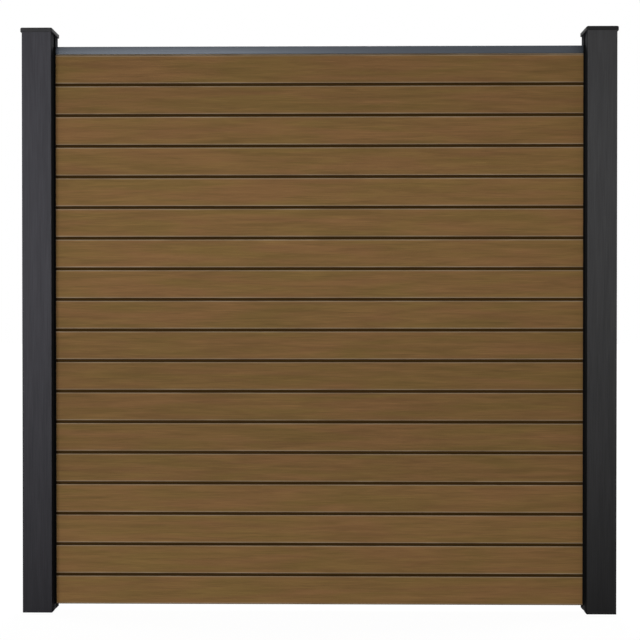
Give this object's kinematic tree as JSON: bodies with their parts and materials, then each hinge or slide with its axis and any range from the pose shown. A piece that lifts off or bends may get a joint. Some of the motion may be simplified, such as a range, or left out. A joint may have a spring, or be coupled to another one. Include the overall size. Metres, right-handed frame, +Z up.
{
  "type": "garden privacy screen",
  "caption": "Free-standing garden screen of stacked tongue-and-groove composite slats under a metal rail, held in the slots of square capped posts.",
  "frame": {"origin": "on the ground, midway between the posts and at the middle of their depth", "axes": "+X along the screen to the viewer's right, -Y towards the picture's viewer, +Z up"},
  "size_m": [1.9306, 0.1046, 1.898],
  "materials": {
    "slat_composite": "walnut-brown wood-plastic composite, brushed lengthwise, matt",
    "post_composite": "charcoal wood-plastic composite, brushed lengthwise, matt",
    "cap_plastic": "charcoal moulded plastic, fine matt grain",
    "rail_aluminium": "blue-grey anodised, satin, drawn lengthwise",
    "channel_aluminium": "black powder coat, satin",
    "core_aluminium": "mill finish, drawn lengthwise",
    "stop_plastic": "black moulded plastic",
    "screw_steel": "stainless steel, satin"
  },
  "bodies": {
    "root": {"slat_01": "slat_composite", "slat_02": "slat_composite", "slat_03": "slat_composite", "slat_04": "slat_composite", "slat_05": "slat_composite", "slat_06": "slat_composite", "slat_07": "slat_composite", "slat_08": "slat_composite", "slat_09": "slat_composite", "slat_10": "slat_composite", "slat_11": "slat_composite", "slat_12": "slat_composite", "slat_13": "slat_composite", "slat_14": "slat_composite", "slat_15": "slat_composite", "slat_16": "slat_composite", "slat_17": "slat_composite", "slat_18": "slat_composite", "top_rail": "rail_aluminium", "post_left": "post_composite", "post_right": "post_composite", "post_core_left": "core_aluminium", "post_core_right": "core_aluminium", "post_cap_left": "cap_plastic", "post_cap_right": "cap_plastic", "end_channel_left": "channel_aluminium", "end_channel_right": "channel_aluminium", "channel_screws_left": "screw_steel", "channel_screws_right": "screw_steel", "stop_screw_left": "screw_steel", "stop_screw_right": "screw_steel", "slot_stop_left": "stop_plastic", "slot_stop_right": "stop_plastic"}
  },
  "joints": []
}
